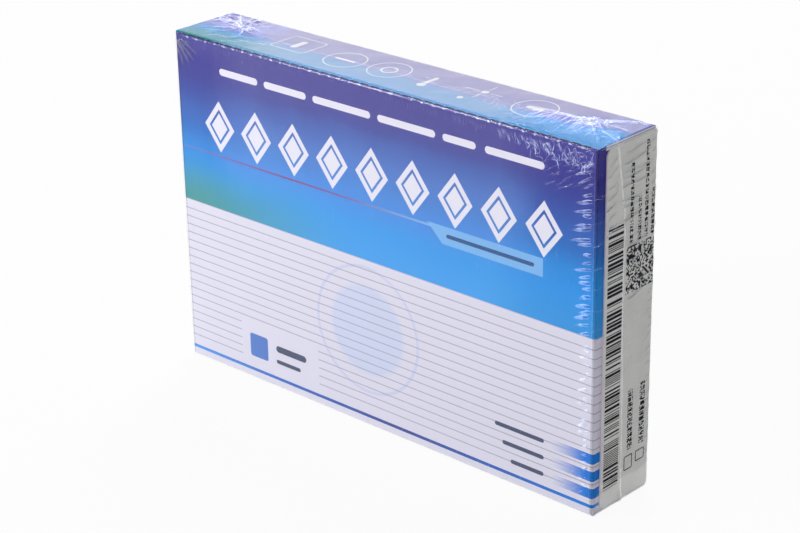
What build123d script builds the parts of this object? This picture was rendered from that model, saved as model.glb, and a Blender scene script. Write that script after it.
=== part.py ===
from build123d import *
import math
import os

# A sealed folding carton in clear shrink film, standing on its long narrow bottom panel.
# X runs along the front panel, Y from the front panel to the back panel, Z up.
# The origin is the middle of the underside of the film.

# Folding carton, measured outside
carton_width = 150.0
carton_depth = 22.9
carton_height = 99.4
board = 0.45
fold_radius = 0.8

# Outer end flap: hinged on the back panel and glued over the inner flap
flap_reveal = 2.6
flap_end_gap = 1.0
flap_corner_radius = 2.0
flap_tuck = 3.0

# Open joint between an inner end flap and the cut edges of the top and bottom panels
joint_width = 0.25
joint_depth = 0.35

# Cut edge of the back panel over the glue lap of the bottom panel
lap_width = 0.25
lap_depth = 0.2

# Cut-crease along the front top fold: knife cuts with bridges of whole board between them
cut_pitch = 3.65
bridge_length = 1.0
cut_width = 0.35

# Shrink film: a tight skin that bridges the folds of the board
film_wall = 0.1
film_gap = 0.05
film_corner_radius = 0.6

# Weld bead of the film, a flat ribbon down each end and along the top
weld_width = 0.7
weld_height = 0.2

# Gathered knots on the top, where the weld turns, with pleats that fan out of them
knot_radius = 2.6
knot_height = 0.7
knot_tip_radius = 0.9
pleat_width = 1.3
pleat_height = 0.5
pleat_crest_share = 0.3

# Short creases across the upright edges, and long soft ones on the end panels
tick_length = 4.2
tick_width = 0.6
tick_height = 0.22
tick_inset = 1.0
tick_pitch = 5.6
tick_least_share = 0.75
tick_spread_share = 0.5
tick_tilt = 6
drape_length = 12.0
drape_width = 2.2
drape_height = 0.3

# Corner rays on the front and back panels, at the top corners
ray_length = 13.0
ray_width = 1.1
ray_height = 0.3
ray_inset = 1.6
ray_clearance = 2.2

# Tail of the weld: an ear that stands up at the left knot, and a dog-ear at each foot
ear_length = 4.0
ear_height = 1.1
ear_thickness = 0.3
dog_ear_width = 3.4
dog_ear_height = 1.6

# The knots: shares of the half width and of the half depth of the film
right_knot_share = (0.826, 0.16)
left_knot_share = (-0.805, 0.09)

# Weld on the top, from the right end to the left: shares of the half width and half depth
weld_top_shares = [
    (1.0, -0.42),
    (0.91, -0.17),
    right_knot_share,
    (0.70, 0.04),
    (0.55, -0.05),
    (0.42, 0.02),
    (0.18, -0.02),
    (-0.12, 0.04),
    (-0.42, -0.03),
    (-0.64, 0.05),
    left_knot_share,
    (-0.91, 0.42),
    (-1.0, 0.58),
]

# Weld on an end panel, from the top to the foot: shares of the half depth and of the height
weld_end_shares = [
    (1.0, 1.0),
    (0.8, 0.94),
    (0.48, 0.84),
    (0.31, 0.76),
    (0.33, 0.57),
    (0.17, 0.29),
    (0.07, 0.0),
]

# Pleats of a knot: degrees from +X, and share of the longest pleat
pleat_fan_shares = [
    (-172, 0.75),
    (-158, 1.0),
    (-146, 0.85),
    (-133, 1.0),
    (-118, 0.7),
    (-98, 0.6),
    (-74, 0.7),
    (-52, 0.6),
    (8, 0.8),
    (24, 0.9),
    (70, 0.5),
    (104, 0.55),
    (150, 0.7),
]
pleat_length = 11.0

# Long creases of an end panel: share of the half depth, share of the height, degrees of slope
drape_shares = [
    (0.55, 0.955, 28),
    (0.62, 0.905, 32),
    (0.50, 0.860, 35),
    (0.10, 0.800, 38),
    (-0.30, 0.745, 34),
]

# Rays of a top corner: degrees below the level, share of the longest ray
ray_shares = [(28, 0.8), (40, 1.0), (52, 0.9), (66, 0.6)]

# Derived sizes
film_offset = film_wall + film_gap
film_width = carton_width + 2 * film_offset
film_depth = carton_depth + 2 * film_offset
film_height = carton_height + 2 * film_offset
carton_base = film_offset
half_width = film_width / 2
half_depth = film_depth / 2
sink = film_wall / 2


def rounded_tube(length, depth, height, radius):
    """The four long panels as one block: a rounded section carried along X."""
    section = Plane.YZ * RectangleRounded(depth, height, radius)
    return extrude(section, amount=length / 2, both=True)


def upright_block(width, depth, height, radius):
    """The same box seen from above: a rounded plan carried up Z."""
    return extrude(RectangleRounded(width, depth, radius), amount=height / 2, both=True)


def carton_core():
    """Main panels and inner end flaps, with fold radii along X and up the corners."""
    length = carton_width - 2 * board
    tube = rounded_tube(length, carton_depth, carton_height, fold_radius)
    plan = upright_block(length, carton_depth, carton_height, fold_radius)
    return tube & plan


def end_flap():
    """Outer flap of the +X end: one board proud, with rounded corners at its free edge."""
    plan_width = flap_tuck + board
    plan = Rectangle(plan_width, carton_depth - flap_reveal, align=(Align.MAX, Align.MAX))
    plan = Pos(carton_width / 2, carton_depth / 2) * plan
    hinge = plan.vertices().sort_by(Axis.Y)[-2:].sort_by(Axis.X)[-1]
    plan = fillet(hinge, fold_radius)
    flap_height = carton_height - 2 * flap_end_gap
    slab = extrude(plan, amount=flap_height / 2, both=True)
    free_edges = slab.edges().filter_by(Axis.X).group_by(Axis.Y)[0]
    return fillet(free_edges, flap_corner_radius)


def flap_joints():
    """Open joints above and below the inner flap of the +X end."""
    level = carton_height / 2 - board - joint_width / 2
    slot = Box(2 * joint_depth, carton_depth - 2 * fold_radius, joint_width)
    end_x = carton_width / 2 - board
    return [Pos(end_x, 0, level) * slot, Pos(end_x, 0, -level) * slot]


def cut_crease():
    """Knife cuts along the front top fold, each square to the fold's round."""
    cut_length = cut_pitch - bridge_length
    fold_inset = fold_radius * (1 - math.cos(math.radians(45)))
    count = int((carton_width - 2 * board - 2 * bridge_length) / cut_pitch)
    knife = Rot(45, 0, 0) * Box(cut_length, cut_width, 2 * board)
    row = GridLocations(cut_pitch, board, count, 1)
    place = Pos(0, fold_inset - carton_depth / 2, carton_height / 2 - fold_inset)
    return [place * spot * knife for spot in row]


def lap_line():
    """The back panel's cut edge, as a fine groove just above the bottom fold."""
    level = fold_radius + lap_width / 2 - carton_height / 2
    groove = Box(carton_width - 2 * (flap_tuck + board), 2 * lap_depth, lap_width)
    return Pos(0, carton_depth / 2, level) * groove


def make_carton():
    """The closed carton as one solid, standing on its bottom panel."""
    flap = end_flap()
    body = carton_core() + flap + mirror(flap, about=Plane.YZ)
    cuts = flap_joints()
    cuts += [mirror(cut, about=Plane.YZ) for cut in cuts]
    cuts += cut_crease()
    cuts.append(lap_line())
    return Pos(0, 0, carton_base + carton_height / 2) * (body - cuts)


def film_block(inset, radius):
    """The wrapped box with all its edges rounded, drawn in by an inset on each side."""
    block = Box(film_width - 2 * inset, film_depth - 2 * inset, film_height - 2 * inset)
    return Pos(0, 0, film_height / 2) * fillet(block.edges(), radius)


def top_plane():
    """Work plane of the film's top, seen from above."""
    return Plane((0, 0, film_height), x_dir=(1, 0, 0), z_dir=(0, 0, 1))


def end_plane(side):
    """Work plane of an end: its X runs along Y of the part, its Y up, facing outwards."""
    return Plane((side * half_width, 0, 0), x_dir=(0, side, 0), z_dir=(side, 0, 0))


def panel_plane(side):
    """Work plane of the front (-1) or back (1) panel, facing outwards, its Y up."""
    return Plane((0, side * half_depth, 0), x_dir=(-side, 0, 0), z_dir=(0, side, 0))


def ribbon(plane, points):
    """A flat bead of weld: the line's width, from inside the wall to its full height."""
    line = Polyline(*points)
    strip = trace(line, line_width=weld_width)
    return plane * (Pos(0, 0, -sink) * extrude(strip, amount=sink + weld_height))


def weld_beads():
    """The weld along the top and down both ends. Neighbours meet past the rounded edge."""
    reach_x = half_width + weld_height
    reach_z = film_height + weld_height
    top_points = [(x * half_width, y * half_depth) for x, y in weld_top_shares]
    top_points[0] = (reach_x, top_points[0][1])
    top_points[-1] = (-reach_x, top_points[-1][1])
    beads = [ribbon(top_plane(), top_points)]
    for side, start in ((1, weld_top_shares[0][1]), (-1, weld_top_shares[-1][1])):
        points = [
            (side * start * half_depth * across, up * film_height)
            for across, up in weld_end_shares
        ]
        points[0] = (points[0][0], reach_z)
        points[-1] = (points[-1][0], film_corner_radius)
        beads.append(ribbon(end_plane(side), points))
    return beads


def pleat(plane, start, angle, length, width, height):
    """A sharp crease: a long low pyramid on a rhombus foot that tapers out at both ends."""
    crest = pleat_crest_share * length
    outline = Polyline(
        (0, 0, -sink),
        (crest, width / 2, -sink),
        (length, 0, -sink),
        (crest, -width / 2, -sink),
        close=True,
    )
    crease = loft([make_face(outline), Vertex(crest, 0, height)])
    return plane * (Pos(*start) * Rot(0, 0, angle) * crease)


def knot(share, turn):
    """A gathered knot: a low crumpled cone with pleats fanning out of it."""
    centre = (share[0] * half_width, share[1] * half_depth)
    cone_height = sink + knot_height
    cone = Cone(knot_radius, knot_tip_radius, cone_height, align=(Align.CENTER, Align.CENTER, Align.MIN))
    pieces = [top_plane() * (Pos(*centre, -sink) * cone)]
    for angle, reach in pleat_fan_shares:
        heading = math.radians(turn * angle)
        foot = (
            centre[0] + knot_tip_radius * math.cos(heading),
            centre[1] + knot_tip_radius * math.sin(heading),
        )
        run = min(reach * pleat_length, room_on_top(foot, heading))
        pieces.append(pleat(top_plane(), foot, turn * angle, run, pleat_width, pleat_height))
    return pieces


def room_on_top(foot, heading):
    """How far a pleat can run from its foot before the rounded edge of the top."""
    flat_x = half_width - film_corner_radius
    flat_y = half_depth - film_corner_radius
    run_x = (math.copysign(flat_x, math.cos(heading)) - foot[0]) / math.cos(heading)
    run_y = (math.copysign(flat_y, math.sin(heading)) - foot[1]) / math.sin(heading)
    return min(run_x, run_y)


def edge_ticks(side, end):
    """Short level creases beside one upright edge of the front or back panel."""
    plane = panel_plane(side)
    across = -side * end
    start_x = across * (half_width - film_corner_radius - tick_inset)
    heading = 180 if across > 0 else 0
    count = int((film_height - ray_length - tick_pitch) / tick_pitch)
    ticks = []
    for step in range(count):
        level = (step + 1) * tick_pitch
        reach = tick_least_share + tick_spread_share * (step * 5 % 7) / 7
        tilt = tick_tilt * (step * 3 % 5 - 2)
        spot = (start_x, level)
        ticks.append(pleat(plane, spot, heading + tilt, reach * tick_length, tick_width, tick_height))
    return ticks


def corner_rays(side, end):
    """Rays of pulled film from a top corner of the front or back panel."""
    plane = panel_plane(side)
    across = -side * end
    corner = (across * (half_width - ray_inset), film_height - ray_inset)
    rays = []
    for slope, reach in ray_shares:
        heading = 180 + slope if across > 0 else -slope
        turn = math.radians(heading)
        spot = (
            corner[0] + ray_clearance * math.cos(turn),
            corner[1] + ray_clearance * math.sin(turn),
        )
        rays.append(pleat(plane, spot, heading, reach * ray_length, ray_width, ray_height))
    return rays


def end_drapes(side):
    """Long soft creases that slope down from the back edge of an end panel."""
    drapes = []
    for across, up, slope in drape_shares:
        spot = (side * across * half_depth, up * film_height)
        heading = 180 + slope if side > 0 else -slope
        room = (half_depth - film_corner_radius + across * half_depth) / math.cos(math.radians(slope))
        run = min(drape_length, room)
        drapes.append(pleat(end_plane(side), spot, heading, run, drape_width, drape_height))
    return drapes


def weld_tail():
    """The ear of trimmed film that stands up on the weld, past the left knot."""
    start, end = weld_top_shares[-3], weld_top_shares[-2]
    heading = math.atan2((end[1] - start[1]) * half_depth, (end[0] - start[0]) * half_width)
    outline = Polyline((0, -sink), (ear_length, -sink), (ear_length, ear_height), (0, 0), close=True)
    fin = extrude(Plane.XZ * make_face(outline), amount=ear_thickness / 2, both=True)
    spot = (start[0] * half_width, start[1] * half_depth)
    return top_plane() * (Pos(*spot) * Rot(0, 0, math.degrees(heading)) * fin)


def dog_ear(side):
    """The folded foot of the weld at the bottom of an end panel."""
    foot = side * weld_end_shares[-1][0] * half_depth * weld_top_shares[0][1]
    outline = Polyline(
        (-dog_ear_width / 2, film_corner_radius),
        (dog_ear_width / 2, film_corner_radius),
        (0, film_corner_radius + dog_ear_height),
        close=True,
    )
    fold = extrude(make_face(outline), amount=sink + weld_height)
    return end_plane(side) * (Pos(foot, 0, -sink) * fold)


def make_film():
    """The shrink film: a thin closed skin with its weld, knots and creases in relief."""
    relief = weld_beads()
    relief += knot(right_knot_share, 1)
    relief += knot(left_knot_share, -1)
    relief.append(weld_tail())
    for end in (-1, 1):
        relief.append(dog_ear(end))
        relief += end_drapes(end)
        for side in (-1, 1):
            relief += edge_ticks(side, end)
            relief += corner_rays(side, end)
    skin = film_block(0, film_corner_radius) + relief
    return skin - film_block(film_wall, film_corner_radius - film_wall)


os.makedirs("parts", exist_ok=True)
export_step(make_carton(), "parts/carton.step")
export_step(make_film(), "parts/shrink_film.step")
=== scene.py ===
import math
from functools import partial

import bpy
import numpy as np
from bpy.props import FloatProperty, FloatVectorProperty, PointerProperty
from mathutils import Matrix, Vector


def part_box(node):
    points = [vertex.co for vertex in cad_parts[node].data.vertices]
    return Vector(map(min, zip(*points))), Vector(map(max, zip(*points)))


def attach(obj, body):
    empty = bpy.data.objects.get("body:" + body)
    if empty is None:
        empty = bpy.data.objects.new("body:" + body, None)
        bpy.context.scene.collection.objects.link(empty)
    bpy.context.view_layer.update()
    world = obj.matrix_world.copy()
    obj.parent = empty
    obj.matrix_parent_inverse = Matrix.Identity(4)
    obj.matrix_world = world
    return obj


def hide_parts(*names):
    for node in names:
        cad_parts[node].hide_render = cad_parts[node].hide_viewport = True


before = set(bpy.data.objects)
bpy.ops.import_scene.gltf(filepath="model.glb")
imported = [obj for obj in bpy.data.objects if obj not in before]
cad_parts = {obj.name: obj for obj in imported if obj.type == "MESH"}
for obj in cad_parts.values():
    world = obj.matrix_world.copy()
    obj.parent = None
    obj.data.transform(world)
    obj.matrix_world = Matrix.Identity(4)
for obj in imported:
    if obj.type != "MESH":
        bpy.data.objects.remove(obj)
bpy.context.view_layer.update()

bl_info = {
    "name": "Sealed lens carton",
    "version": (1, 0, 0),
    "blender": (4, 5, 0),
    "location": "View3D > Sidebar > Sealed Carton",
    "description": "Printed board, shrink film with its weld, and a small studio, round the packed frame",
    "category": "Object",
}

# All shape work below is in millimetres, and is turned to metres when a mesh is filled.
MM = 0.001

# Film skin: the carton's box grown by the air under the film and the film itself
SKIN_GAP = 0.15
carton_low, carton_high = (np.array(corner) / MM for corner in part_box("carton"))
SKIN_LOW = carton_low - SKIN_GAP
SKIN_HIGH = carton_high + SKIN_GAP
RIGHT, BACK, TOP = SKIN_HIGH
LEFT, FRONT, BASE = SKIN_LOW

# The film skin is thinned to this many triangles
SKIN_TRIANGLES = 190_000

# Gathered knots on the top, as X and Y
RIGHT_KNOT = np.array((62.1, 1.9))
LEFT_KNOT = np.array((-60.6, 1.1))

# How far the rims of a fold lie under the film
RIM_DEPTH = 0.05

# Settings that several properties share
COLOUR = {"size": 4, "subtype": "COLOR", "min": 0, "max": 1}
SHARE = {"min": 0, "max": 1, "subtype": "FACTOR"}


def linear(code):
    """An sRGB hex colour as linear RGBA: the standard curve, channel by channel."""
    channels = [int(code[i : i + 2], 16) / 255 for i in (0, 2, 4)]
    curve = [c / 12.92 if c <= 0.04045 else ((c + 0.055) / 1.055) ** 2.4 for c in channels]
    return (*curve, 1.0)


def add_node(tree, kind, inputs=(), output=0, stops=(), **settings):
    """Adds a node, sets its properties, fills a colour ramp with stops of (place, hex colour), links or fills its
    inputs and gives back one output, or all of them where output is None. kind may name an operation too, as in
    "Math ADD"."""
    kind, *operation = kind.split()
    node = tree.nodes.new("ShaderNode" + kind)
    for name, value in [*zip(["operation"], operation), *settings.items()]:
        setattr(node, name, value)
    if stops:
        elements = node.color_ramp.elements
        elements.remove(elements[1])
        elements[0].position, elements[0].color = stops[0][0], linear(stops[0][1])
        for spot, code in stops[1:]:
            elements.new(spot).color = linear(code)
    pairs = inputs.items() if isinstance(inputs, dict) else enumerate(inputs)
    for key, value in pairs:
        if isinstance(value, bpy.types.NodeSocket):
            tree.links.new(value, node.inputs[key])
        elif value is not None:
            node.inputs[key].default_value = value
    return node.outputs if output is None or not node.outputs else node.outputs[output]


def cleared_tree(owner):
    """Empties the node tree of a material or a world, and gives back add_node for that tree."""
    owner.use_nodes = True
    owner.node_tree.nodes.clear()
    return partial(add_node, owner.node_tree)


def new_material(name):
    """A material with an empty node tree, and add_node for that tree."""
    material = bpy.data.materials.new(name)
    return material, cleared_tree(material)


def overlap(node, *masks):
    """Where all masks are at once: their product."""
    whole = masks[0]
    for mask in masks[1:]:
        whole = node("Math MULTIPLY", [whole, mask])
    return whole


def layered(node, under, *layers):
    """Colours laid over a first one, each as far as its mask goes. A colour is a hex code, a value or an output."""
    for mask, colour in layers:
        colour = linear(colour) if isinstance(colour, str) else colour
        under = node("Mix", {0: mask, 6: under, 7: colour}, 2, data_type="RGBA")
    return under


def fade(value, start, end):
    """0 before start, 1 past end, and the smooth cubic step 3t^2 - 2t^3 between them."""
    share = np.clip((value - start) / (end - start), 0.0, 1.0)
    return share * share * (3.0 - 2.0 * share)


def waves(points, size, seed, count=14):
    """A smooth random field: plane waves with random headings, lengths near size and starts, added up."""
    rng = np.random.default_rng(seed)
    heading = rng.normal(size=(3, count))
    heading *= 2 * math.pi / size * rng.uniform(0.6, 1.5, count) / np.linalg.norm(heading, axis=0)
    phase = rng.uniform(0, 2 * math.pi, count)
    return np.cos(points @ heading + phase).sum(axis=1) * math.sqrt(2 / count)


def fill_mesh(name, points, *faces):
    """A smooth mesh object from arrays of points in millimetres and of corner numbers, at the origin."""
    mesh = bpy.data.meshes.new(name)
    mesh.from_pydata((points * MM).tolist(), [], [face for part in faces for face in part.tolist()])
    mesh.update()
    mesh.polygons.foreach_set("use_smooth", np.ones(len(mesh.polygons), bool))
    piece = bpy.data.objects.new(name, mesh)
    bpy.context.scene.collection.objects.link(piece)
    return piece


# Film skin


def grid_lines(*spans):
    """Grid lines along one side: each span (start, end, step) is cut into equal steps near that size."""
    parts = [np.linspace(a, b, round((b - a) / step), endpoint=False) for a, b, step in spans]
    return np.concatenate(parts + [[spans[-1][1]]])


def box_skin(lines):
    """The six sides of a box as one closed grid: every cell's corners by their line numbers, wound to face
    outwards, with the corners that sides share counted once."""
    counts = [len(line) for line in lines]
    quads = []
    for axis, (first, second) in enumerate(((2, 1), (0, 2), (1, 0))):
        cells = np.meshgrid(np.arange(counts[first] - 1), np.arange(counts[second] - 1), indexing="ij")
        for end in (0, counts[axis] - 1):
            turn = [(0, 0), (1, 0), (1, 1), (0, 1)]
            corners = []
            for step_first, step_second in turn if end == 0 else turn[::-1]:
                spot = [None] * 3
                spot[axis] = np.full_like(cells[0], end)
                spot[first] = cells[0] + step_first
                spot[second] = cells[1] + step_second
                corners.append((spot[0] * counts[1] + spot[1]) * counts[2] + spot[2])
            quads.append(np.stack(corners, axis=-1).reshape(-1, 4))
    used, quads = np.unique(np.concatenate(quads), return_inverse=True)
    i, rest = np.divmod(used, counts[1] * counts[2])
    j, k = np.divmod(rest, counts[2])
    points = np.stack([lines[0][i], lines[1][j], lines[2][k]], axis=-1)
    return points, quads.reshape(-1, 4)


def round_edges(points, radius):
    """A point of the sharp box is drawn to the inner box, one radius in, and pushed out by the radius along
    the same line. Gives the place and the outward direction."""
    inner = np.clip(points, SKIN_LOW + radius, SKIN_HIGH - radius)
    outward = points - inner
    outward /= np.linalg.norm(outward, axis=1, keepdims=True)
    return inner + radius * outward, outward


def wrap(points, outward):
    """Points of a panel's plane that run over its edge go on round it: by as much as a point is past the edge, it
    is drawn back against the panel's outward direction."""
    inside = np.clip(points, SKIN_LOW, SKIN_HIGH)
    past = np.abs(points - inside).sum(axis=-1, keepdims=True)
    return np.clip(inside - past * outward, SKIN_LOW, SKIN_HIGH)


def fold_rows(rng, start, end, width, look, bend):
    """Rows of folds: start, end, half width, then look (rise, rim, fill, hollow), bow and curl."""
    count = len(start)
    sizes = np.stack([rng.uniform(*width, count), *np.tile(look, (count, 1)).T], axis=-1)
    return np.concatenate([start, end, sizes, bend * rng.uniform(-1, 1, (count, 2))], axis=1)


def strew(panel, seed, count, low, high, heading, spread, length, width, look, bend=0.1):
    """Random folds on one side of the box, which is given as its axis and its place on it: starts spread evenly
    through a flat patch, headings near one direction. look is how far a fold rises, how milky its rim and its
    filling are, the milk partly painted highlight, and how dark its hollow, which is painted shade."""
    rng = np.random.default_rng(seed)
    axis, place = panel
    low, high = (np.insert(np.array(corner, float), axis, place) for corner in (low, high))
    share = rng.uniform(size=(count, 3))
    longest = np.argmax(high - low)
    share[:, longest] = (np.arange(count) + 0.2 + 0.6 * share[:, longest]) / count
    start = low + share * (high - low)
    heading = np.insert(np.array(heading, float), axis, 0) + rng.normal(0, spread, (count, 3))
    heading[:, axis] = 0
    heading /= np.linalg.norm(heading, axis=1, keepdims=True)
    end = start + heading * rng.uniform(*length, count)[:, None]
    return fold_rows(rng, start, end, width, look, bend)


def fan(centre, seed, count, angles, inner, length, width, look, bend=0.3):
    """Folds that fan out of a point on the top, evenly spread between two angles from +X."""
    rng = np.random.default_rng(seed)
    angle = np.radians(angles[0] + (angles[1] - angles[0]) * (np.arange(count) + rng.uniform(size=count)) / count)
    aim = np.stack([np.cos(angle), np.sin(angle), np.zeros(count)], axis=-1)
    start = np.array([*centre, TOP]) + aim * rng.uniform(*inner, count)[:, None]
    end = start + aim * rng.uniform(*length, count)[:, None]
    return fold_rows(rng, start, end, width, look, bend)


# Folds strewn over each panel: seed, count, two corners of the patch, heading and its spread, length, half width,
# look and bend. The sides are X and Z, or Y and Z on an end, or X and Y on the top.
# In each look, the hollow is painted shade, and the milky rim and filling stand partly for painted highlights
HAIR, UP = (0.08, 0.4, 0.4, 0), (0, 1)
STREWN = {
    (1, FRONT): (
        # lens-shaped pockets beside the right edge, steeper and in pairs towards the top
        (11, 20, (72.7, 50), (73.3, 89), (-1, -0.29), 0.03, (3, 7), (0.38, 0.66), (0.08, 1.35, 0.5, 0.24), 0.15),
        (12, 20, (72.7, 8), (73.3, 49), (-1, -0.24), 0.04, (2.2, 5), (0.30, 0.48), (0.08, 1.1, 0.55, 0.12), 0.15),
        (13, 4, (72.8, 89), (73.2, 96), (-1, -0.5), 0.04, (4, 7), (0.3, 0.42), (0.08, 0.9, 0.4, 0.2), 0.2),
        (14, 18, (56, 86), (67, 94), (1, 0.6), 0.04, (2.5, 5.5), (0.12, 0.22), (0.06, 0.55, 0.15, 0.14), 0.15),
        # ticks and curls below the cut-crease
        (16, 90, (-70, 97.6), (36, 98.3), (0, -1), 0.05, (0.6, 2.2), (0.08, 0.12), (0.06, 0.28, 0.28, 0), 0.04),
        (15, 22, (28, 97.6), (44, 98.2), (0.1, -1), 0.08, (1, 2.6), (0.07, 0.11), (0.06, 0.3, 0.3, 0), 0.1),
        (17, 26, (43, 97.6), (59, 98.2), (0.25, -1), 0.08, (1.6, 4.2), (0.08, 0.12), (0.06, 0.7, 0.7, 0), 0.2),
        (18, 84, (52, 94.4), (72.5, 98.3), (0.6, -0.7), 0.5, (1.4, 3.4), (0.07, 0.11), (0.06, 0.72, 0.72, 0), 0.9),
        # small slanting creases at the bottom right, and the bottom edge
        (20, 12, (60, 4), (72, 16), (1, 0.8), 0.2, (2, 4.5), (0.12, 0.2), (0.12, 0.5, 0.5, 0.1), 0.2),
        (21, 26, (-70, 0.9), (70, 2.2), (0.1, 1), 0.2, (0.8, 2), (0.10, 0.16), HAIR, 0.05),
        # thin lines that run on round the right edge
        (22, 9, (73, 40), (73.9, 88), (1, 0.2), 0.06, (3, 5.5), (0.10, 0.14), (0.10, 0.3, 0.3, 0), 0.3),
    ),
    (0, RIGHT): (
        # soft drapes each side of the weld, fine creases and ticks at the back edge
        (31, 7, (-3.2, 81), (-2.4, 97), (1, 0.04), 0.04, (8, 12), (0.6, 0.85), (0.3, 0.25, 0, 0.07), 0.3),
        (32, 8, (-2, 56), (1, 80), (1, 0.1), 0.08, (6, 10), (0.5, 0.8), (0.22, 0.2, 0, 0.05), 0.3),
        (33, 8, (-8.9, 74), (-8.5, 96), (1, 0.42), 0.06, (4, 5.6), (0.4, 0.6), (0.25, 0.25, 0, 0.07), 0.2),
        (34, 34, (-1, 8), (7, 56), (1, 0.42), 0.1, (3, 8), (0.12, 0.2), (0.08, 0.25, 0.2, 0), 0.4),
        (35, 34, (8.4, 8), (9, 97), (1, 0.5), 0.08, (2, 3.2), (0.26, 0.4), (0.2, 0.3, 0, 0.12), 0.15),
    ),
    (1, BACK): (
        # pockets at both edges, rays in the top corners and ticks below the top
        (41, 32, (73.2, 10), (73.8, 90), (-1, -0.1), 0.07, (2.4, 6), (0.3, 0.55), (0.1, 0.8, 0.4, 0.15), 0.15),
        (42, 28, (-73.8, 10), (-73.2, 90), (1, -0.1), 0.07, (2.4, 6), (0.3, 0.55), (0.1, 0.8, 0.35, 0.15), 0.15),
        (43, 4, (68.5, 96.9), (74.2, 97.7), (-1, -1), 0.15, (4.5, 8), (0.35, 0.55), (0.08, 0.10, 0.30, 0)),
        (44, 4, (-74.2, 96.9), (-68.5, 97.7), (1, -1), 0.15, (4.5, 8), (0.35, 0.55), (0.08, 0.10, 0.30, 0)),
        (45, 90, (-72, 97.4), (70, 98.6), (0, -1), 0.12, (0.8, 2.6), (0.10, 0.16), HAIR, 0.05),
    ),
    (0, LEFT): (
        # drapes and ticks
        (51, 9, (1, 80), (2, 97), (-1, 0.05), 0.08, (6, 10), (0.55, 0.8), (0.25, 0.04, 0, 0.07), 0.3),
        (52, 14, (-6, 8), (8.5, 72), (-1, 0.2), 0.15, (4, 8), (0.4, 0.7), (0.2, 0.03, 0, 0.07), 0.3),
        (53, 24, (-9.2, 8), (-8.6, 96), (-1, 0.4), 0.12, (1.8, 3), (0.26, 0.4), (0.15, 0.05, 0, 0.14), 0.15),
        (54, 24, (8.6, 8), (9.2, 96), (1, 0.4), 0.12, (1.8, 3), (0.26, 0.4), (0.15, 0.05, 0, 0.14), 0.15),
    ),
    (2, TOP): (
        # hairs across both long edges, and dark ones at the back, which are painted shade
        (61, 24, (-70, BACK - 0.8), (72, BACK - 0.1), UP, 0.12, (0.6, 1.8), (0.09, 0.13), (0.05, 0.12, 0.12, 0), 0.05),
        (63, 40, (-20, BACK - 2.4), (60, BACK - 0.6), (0.5, 1), 0.12, (1, 2.6), (0.14, 0.24), (0.05, 0, 0, 0.4), 0.1),
        (62, 80, (-58, FRONT + 0.1), (60, FRONT + 1), UP, 0.12, (0.6, 2.2), (0.08, 0.12), (0.05, 0.35, 0.35, 0), 0.05),
        # right knot: straight pleats to the front edge, weaker to the left, crumbs and squiggles
        (71, 26, (45, 0), (66, 2), (0.12, -1), 0.07, (5, 12), (0.09, 0.17), (0.12, 0.95, 0.9, 0), 0.3),
        (72, 24, (26, -2.5), (52, 1.5), (0.15, -1), 0.10, (2, 5), (0.08, 0.13), (0.08, 0.5, 0.5, 0), 0.3),
        (74, 60, (58.5, -1.5), (66, 5), (0.3, 0.3), 1, (0.5, 1.6), (0.12, 0.22), (0.3, 0.65, 0.65, 0), 0.2),
        (75, 26, (-8, 0.2), (54, 2.6), (1, 0.02), 0.10, (2, 5), (0.08, 0.13), (0.08, 0.7, 0.7, 0), 0.5),
        (76, 14, (64, -6), (72, 5), (0.8, 0.6), 0.25, (2, 5), (0.08, 0.15), (0.1, 0.6, 0.5, 0), 0.4),
        # left knot: a net behind it, crumbs, and ripples before it
        (83, 20, (-74, 2), (-57, 10.5), (1, 0.3), 0.6, (2, 4.5), (0.2, 0.4), (0.08, 0.26, 0.28, 0), 1),
        (84, 18, (-63, -0.5), (-58.5, 2.8), (0.3, 0.3), 1, (0.5, 1.6), (0.14, 0.26), (0.15, 0.9, 0.9, 0), 0.2),
        (85, 18, (-70, -9), (-44, -2), (1, 0.3), 0.15, (2.5, 6), (0.18, 0.32), (0.08, 0.3, 0.3, 0), 0.4),
    ),
}
# Fans out of the knots: centre, seed, count, angles, inner radius, length, half width, look and bend
FANS = (
    (RIGHT_KNOT, 73, 18, (-150, 30), (0.8, 2.5), (3, 8), (0.09, 0.15), (0.1, 0.65, 0.5, 0)),
    (LEFT_KNOT, 81, 12, (100, 200), (0.6, 2.5), (4, 12), (0.2, 0.4), (0.1, 0.3, 0.32, 0), 0.8),
    (LEFT_KNOT, 82, 10, (-60, 60), (0.5, 2), (2, 6.5), (0.14, 0.26), (0.1, 0.5, 0.5, 0), 0.6),
)
# Single folds, as rows of fold_rows
SINGLE = (
    # front panel: soft rays from the top left corner, and a milky line before the right edge, a painted highlight of
    # the film along that edge
    (-73.6, FRONT, 97.0, -69.2, FRONT, 91.2, 0.75, 0.08, 0.02, 0.20, 0, 0.2, 0),
    (-73.0, FRONT, 97.3, -67.0, FRONT, 92.2, 0.65, 0.08, 0.02, 0.17, 0, 0.2, 0),
    (-73.9, FRONT, 95.6, -71.6, FRONT, 90.2, 0.6, 0.08, 0.02, 0.15, 0, 0.1, 0),
    (-72.0, FRONT, 97.6, -65.4, FRONT, 94.2, 0.5, 0.08, 0.02, 0.15, 0, 0.2, 0),
    (73.45, FRONT, 97.6, 73.45, FRONT, 3.0, 0.12, 0.05, 0.22, 0.22, 0, 0, 0),
    # right end: two bright streaks of fully milky film, which stand partly for glints as painted highlights
    (RIGHT, -9.6, 82.2, RIGHT, -5.8, 83.9, 0.2, 0.3, 1, 1, 0, 0.1, 0),
    (RIGHT, -8.7, 76.2, RIGHT, -4.5, 77.7, 0.2, 0.3, 1, 1, 0, 0.1, 0),
    # top: a ridge from the right knot to the back corner, and two from the left knot to the left corners
    (62.1, 2.6, TOP, 74.9, 11.3, TOP, 0.38, 0.45, 0.95, 0.9, 0, 0.6, 0.1),
    (-60.2, 1.4, TOP, -71.8, 11.4, TOP, 0.32, 0.35, 0.85, 0.8, 0, 0.5, 0),
    (-60.2, 1.4, TOP, -75.2, -7.4, TOP, 0.35, 0.35, 0.75, 0.6, 0, -1.0, 0),
)


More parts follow.
